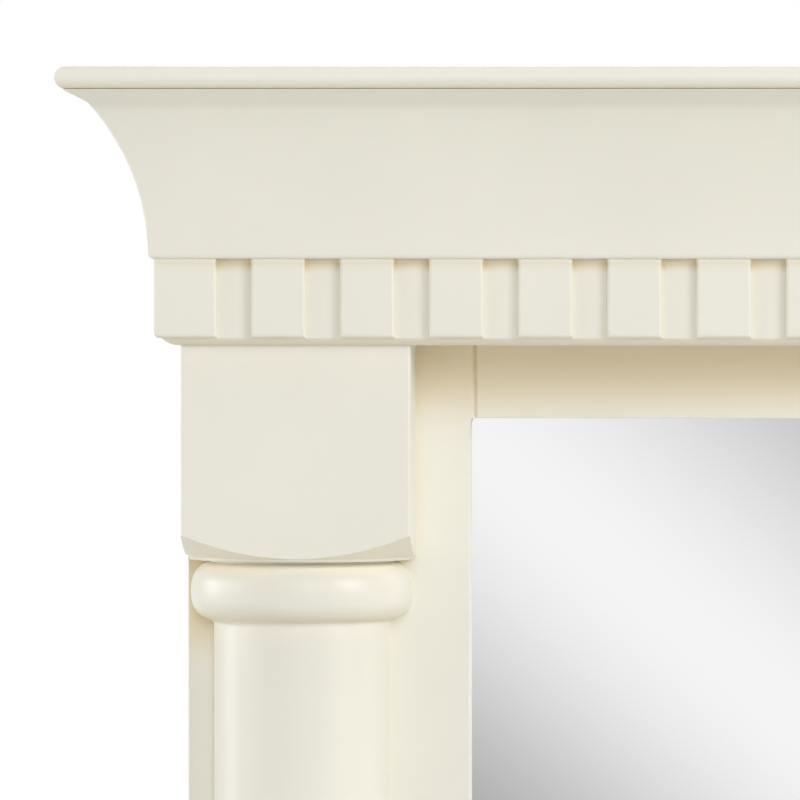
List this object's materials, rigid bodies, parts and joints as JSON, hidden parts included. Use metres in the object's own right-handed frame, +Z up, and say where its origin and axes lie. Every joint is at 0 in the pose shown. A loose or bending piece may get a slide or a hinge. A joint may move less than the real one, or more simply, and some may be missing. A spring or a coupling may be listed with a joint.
{
  "type": "framed wall mirror",
  "caption": "Wall mirror in a cream painted wooden frame with split turned columns and a dentil cornice, hung by ring hangers.",
  "frame": {"origin": "on the wall plane, midway between the pivots of the two hanger rings", "axes": "+Z up, -Y out of the mirror's front, +Y towards the wall, +X to the right seen from the front"},
  "size_m": [0.7576, 0.1079, 0.914],
  "materials": {
    "cream_paint": "satin cream paint on wood, sprayed, with softened arrises",
    "bare_wood": "planed pine and beech, unfinished",
    "mirror_glass": "clear float glass, silvered on its back",
    "hardboard": "brown pressed board with a smooth face",
    "foam": "soft closed foam strip",
    "zinc_plate": "bright zinc plate",
    "rubber": "dark matt rubber"
  },
  "bodies": {
    "mirror_frame": {"left_stile": "cream_paint", "right_stile": "cream_paint", "top_rail": "cream_paint", "bottom_rail": "cream_paint", "frame_dowels": "bare_wood", "mirror_glass": "mirror_glass", "glass_cushions": "foam", "back_panel": "hardboard", "panel_screws": "zinc_plate", "frieze_board": "cream_paint", "left_frieze_return": "cream_paint", "right_frieze_return": "cream_paint", "soffit_board": "cream_paint", "glue_blocks": "bare_wood", "dentil_front": "cream_paint", "dentil_left": "cream_paint", "dentil_right": "cream_paint", "crown_front": "cream_paint", "crown_left": "cream_paint", "crown_right": "cream_paint", "cap_board": "cream_paint", "left_capital": "cream_paint", "right_capital": "cream_paint", "left_column": "cream_paint", "right_column": "cream_paint", "left_base_block": "cream_paint", "right_base_block": "cream_paint", "post_pins": "bare_wood", "base_board": "cream_paint", "post_screws": "zinc_plate", "cornice_screws": "zinc_plate", "base_screws": "zinc_plate", "left_hanger_strap": "zinc_plate", "right_hanger_strap": "zinc_plate", "hanger_screws": "zinc_plate", "wall_bumpers": "rubber"},
    "left_ring": {"left_hanger_ring": "zinc_plate"},
    "right_ring": {"right_hanger_ring": "zinc_plate"}
  },
  "joints": [
    {"name": "left_ring_swing", "type": "hinge", "parent": "mirror_frame", "child": "left_ring", "pos_m": [-0.2853, -0.00252, 0], "axis": [1, 0, 0], "range_deg": [-3, 183]},
    {"name": "right_ring_swing", "type": "hinge", "parent": "mirror_frame", "child": "right_ring", "pos_m": [0.2853, -0.00252, 0], "axis": [1, 0, 0], "range_deg": [-3, 183]}
  ]
}
